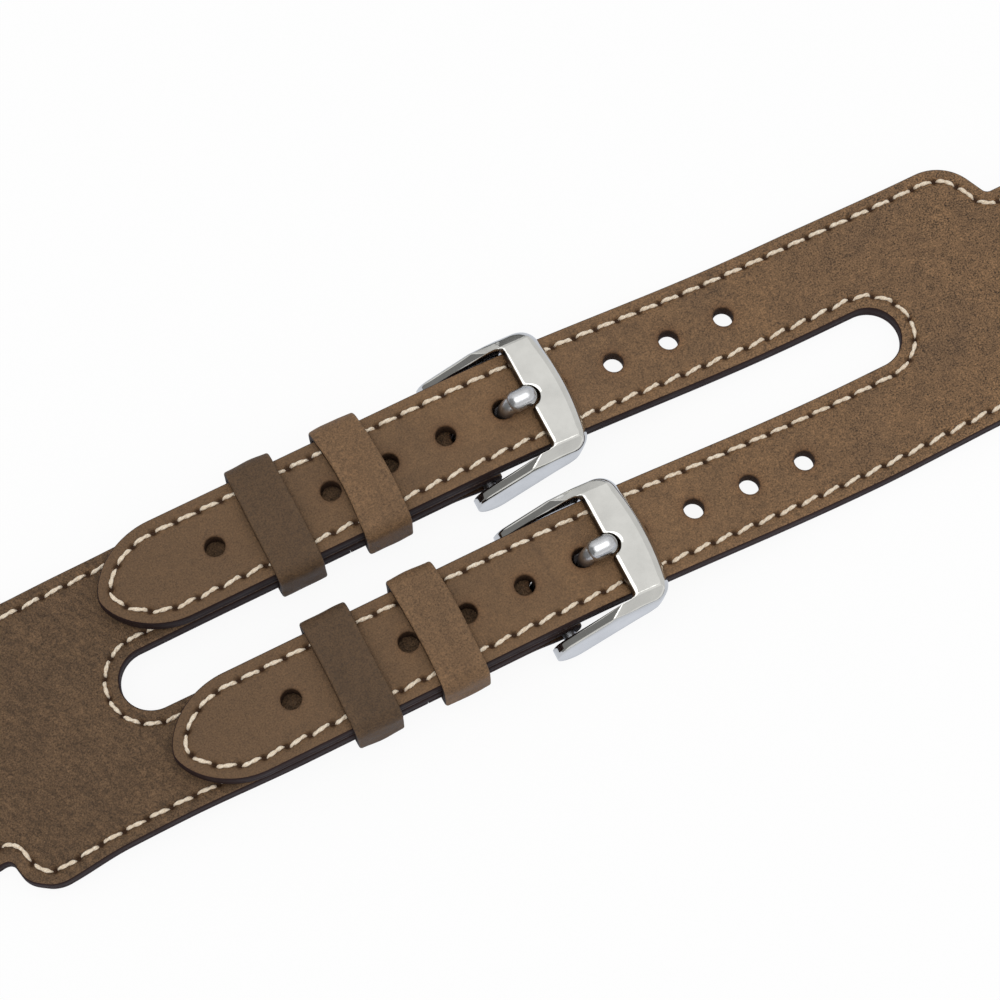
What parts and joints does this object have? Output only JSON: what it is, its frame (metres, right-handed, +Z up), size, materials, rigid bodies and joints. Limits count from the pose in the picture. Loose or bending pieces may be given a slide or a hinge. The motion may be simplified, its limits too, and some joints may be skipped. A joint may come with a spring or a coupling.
{
  "type": "twin strap leather watch band",
  "caption": "Wide leather watch band whose two halves fork into narrow straps, joined by paired pin buckles with keepers and spring bars.",
  "frame": {"origin": "middle of the band's box in plan, at the height of the table that it lies on", "axes": "+X along the band towards the lug end of the holed half, +Y across the band, +Z up, away from the wrist side"},
  "size_m": [0.1526, 0.0348, 0.0097],
  "materials": {
    "long_leather": "oiled, fine grain, pulled-up lighter marks",
    "short_leather": "oiled, fine grain, darker",
    "lining_leather": "smooth",
    "light_keeper": "oiled, fine grain",
    "dark_keeper": "oiled, fine grain, darker",
    "thread": "waxed thread",
    "polished_steel": "polished",
    "satin_steel": "satin",
    "bar_steel": "plain",
    "spring_steel": "plain wire"
  },
  "bodies": {
    "band": {"long_top_leather": "long_leather", "long_lining": "lining_leather", "long_top_thread": "thread", "long_under_thread": "thread", "short_top_leather": "short_leather", "short_lining": "lining_leather", "short_top_thread": "thread", "short_under_thread": "thread", "keeper_fixed_a": "light_keeper", "keeper_fixed_b": "light_keeper", "buckle_bar_a_tube": "bar_steel", "buckle_bar_a_spring": "spring_steel", "buckle_bar_b_tube": "bar_steel", "buckle_bar_b_spring": "spring_steel"},
    "keeper_free_a": {"keeper_free_a": "dark_keeper"},
    "buckle_frame_a": {"buckle_frame_a": "polished_steel"},
    "tongue_a": {"tongue_a": "satin_steel"},
    "buckle_bar_a_tip_far": {"buckle_bar_a_tip_far": "bar_steel"},
    "buckle_bar_a_tip_near": {"buckle_bar_a_tip_near": "bar_steel"},
    "keeper_free_b": {"keeper_free_b": "dark_keeper"},
    "buckle_frame_b": {"buckle_frame_b": "polished_steel"},
    "tongue_b": {"tongue_b": "satin_steel"},
    "buckle_bar_b_tip_far": {"buckle_bar_b_tip_far": "bar_steel"},
    "buckle_bar_b_tip_near": {"buckle_bar_b_tip_near": "bar_steel"},
    "lug_bar_long": {"lug_bar_long_tube": "bar_steel", "lug_bar_long_spring": "spring_steel"},
    "lug_bar_long_tip_far": {"lug_bar_long_tip_far": "bar_steel"},
    "lug_bar_long_tip_near": {"lug_bar_long_tip_near": "bar_steel"},
    "lug_bar_short": {"lug_bar_short_tube": "bar_steel", "lug_bar_short_spring": "spring_steel"},
    "lug_bar_short_tip_far": {"lug_bar_short_tip_far": "bar_steel"},
    "lug_bar_short_tip_near": {"lug_bar_short_tip_near": "bar_steel"}
  },
  "joints": [
    {"name": "keeper_free_a_slide", "type": "slide", "parent": "band", "child": "keeper_free_a", "axis": [1, 0, 0], "range_m": [-0.017, 0.0048]},
    {"name": "buckle_frame_a_turn", "type": "hinge", "parent": "band", "child": "buckle_frame_a", "pos_m": [-0.0018, 0.0093, 0.0031], "axis": [0, -1, 0], "range_deg": [0, 3]},
    {"name": "tongue_a_turn", "type": "hinge", "parent": "band", "child": "tongue_a", "pos_m": [-0.0018, 0.0093, 0.0031], "axis": [0, -1, 0], "range_deg": [0, 3]},
    {"name": "buckle_bar_a_tip_far_slide", "type": "slide", "parent": "band", "child": "buckle_bar_a_tip_far", "axis": [0, -1, 0], "range_m": [0, 0.0007], "stiffness_N_per_m": 200, "deforming": ["buckle_bar_a_spring"]},
    {"name": "buckle_bar_a_tip_near_slide", "type": "slide", "parent": "band", "child": "buckle_bar_a_tip_near", "axis": [0, 1, 0], "range_m": [0, 0.0007], "stiffness_N_per_m": 200, "deforming": ["buckle_bar_a_spring"]},
    {"name": "keeper_free_b_slide", "type": "slide", "parent": "band", "child": "keeper_free_b", "axis": [1, 0, 0], "range_m": [-0.017, 0.0048]},
    {"name": "buckle_frame_b_turn", "type": "hinge", "parent": "band", "child": "buckle_frame_b", "pos_m": [-0.0018, -0.0099, 0.0031], "axis": [0, -1, 0], "range_deg": [0, 3]},
    {"name": "tongue_b_turn", "type": "hinge", "parent": "band", "child": "tongue_b", "pos_m": [-0.0018, -0.0099, 0.0031], "axis": [0, -1, 0], "range_deg": [0, 3]},
    {"name": "buckle_bar_b_tip_far_slide", "type": "slide", "parent": "band", "child": "buckle_bar_b_tip_far", "axis": [0, -1, 0], "range_m": [0, 0.0007], "stiffness_N_per_m": 200, "deforming": ["buckle_bar_b_spring"]},
    {"name": "buckle_bar_b_tip_near_slide", "type": "slide", "parent": "band", "child": "buckle_bar_b_tip_near", "axis": [0, 1, 0], "range_m": [0, 0.0007], "stiffness_N_per_m": 200, "deforming": ["buckle_bar_b_spring"]},
    {"name": "lug_bar_long_turn", "type": "hinge", "parent": "band", "child": "lug_bar_long", "pos_m": [0.0745, 0, 0.00185], "axis": [0, 1, 0], "continuous": true},
    {"name": "lug_bar_long_tip_far_slide", "type": "slide", "parent": "lug_bar_long", "child": "lug_bar_long_tip_far", "axis": [0, -1, 0], "range_m": [0, 0.00085], "stiffness_N_per_m": 200, "deforming": ["lug_bar_long_spring"]},
    {"name": "lug_bar_long_tip_near_slide", "type": "slide", "parent": "lug_bar_long", "child": "lug_bar_long_tip_near", "axis": [0, 1, 0], "range_m": [0, 0.00085], "stiffness_N_per_m": 200, "deforming": ["lug_bar_long_spring"]},
    {"name": "lug_bar_short_turn", "type": "hinge", "parent": "band", "child": "lug_bar_short", "pos_m": [-0.0745, 0, 0.00185], "axis": [0, 1, 0], "continuous": true},
    {"name": "lug_bar_short_tip_far_slide", "type": "slide", "parent": "lug_bar_short", "child": "lug_bar_short_tip_far", "axis": [0, -1, 0], "range_m": [0, 0.00085], "stiffness_N_per_m": 200, "deforming": ["lug_bar_short_spring"]},
    {"name": "lug_bar_short_tip_near_slide", "type": "slide", "parent": "lug_bar_short", "child": "lug_bar_short_tip_near", "axis": [0, 1, 0], "range_m": [0, 0.00085], "stiffness_N_per_m": 200, "deforming": ["lug_bar_short_spring"]}
  ],
  "couplings": [
    {"joint": "tongue_a_turn", "follows": "buckle_frame_a_turn", "ratio": 1},
    {"joint": "tongue_b_turn", "follows": "buckle_frame_b_turn", "ratio": 1}
  ]
}
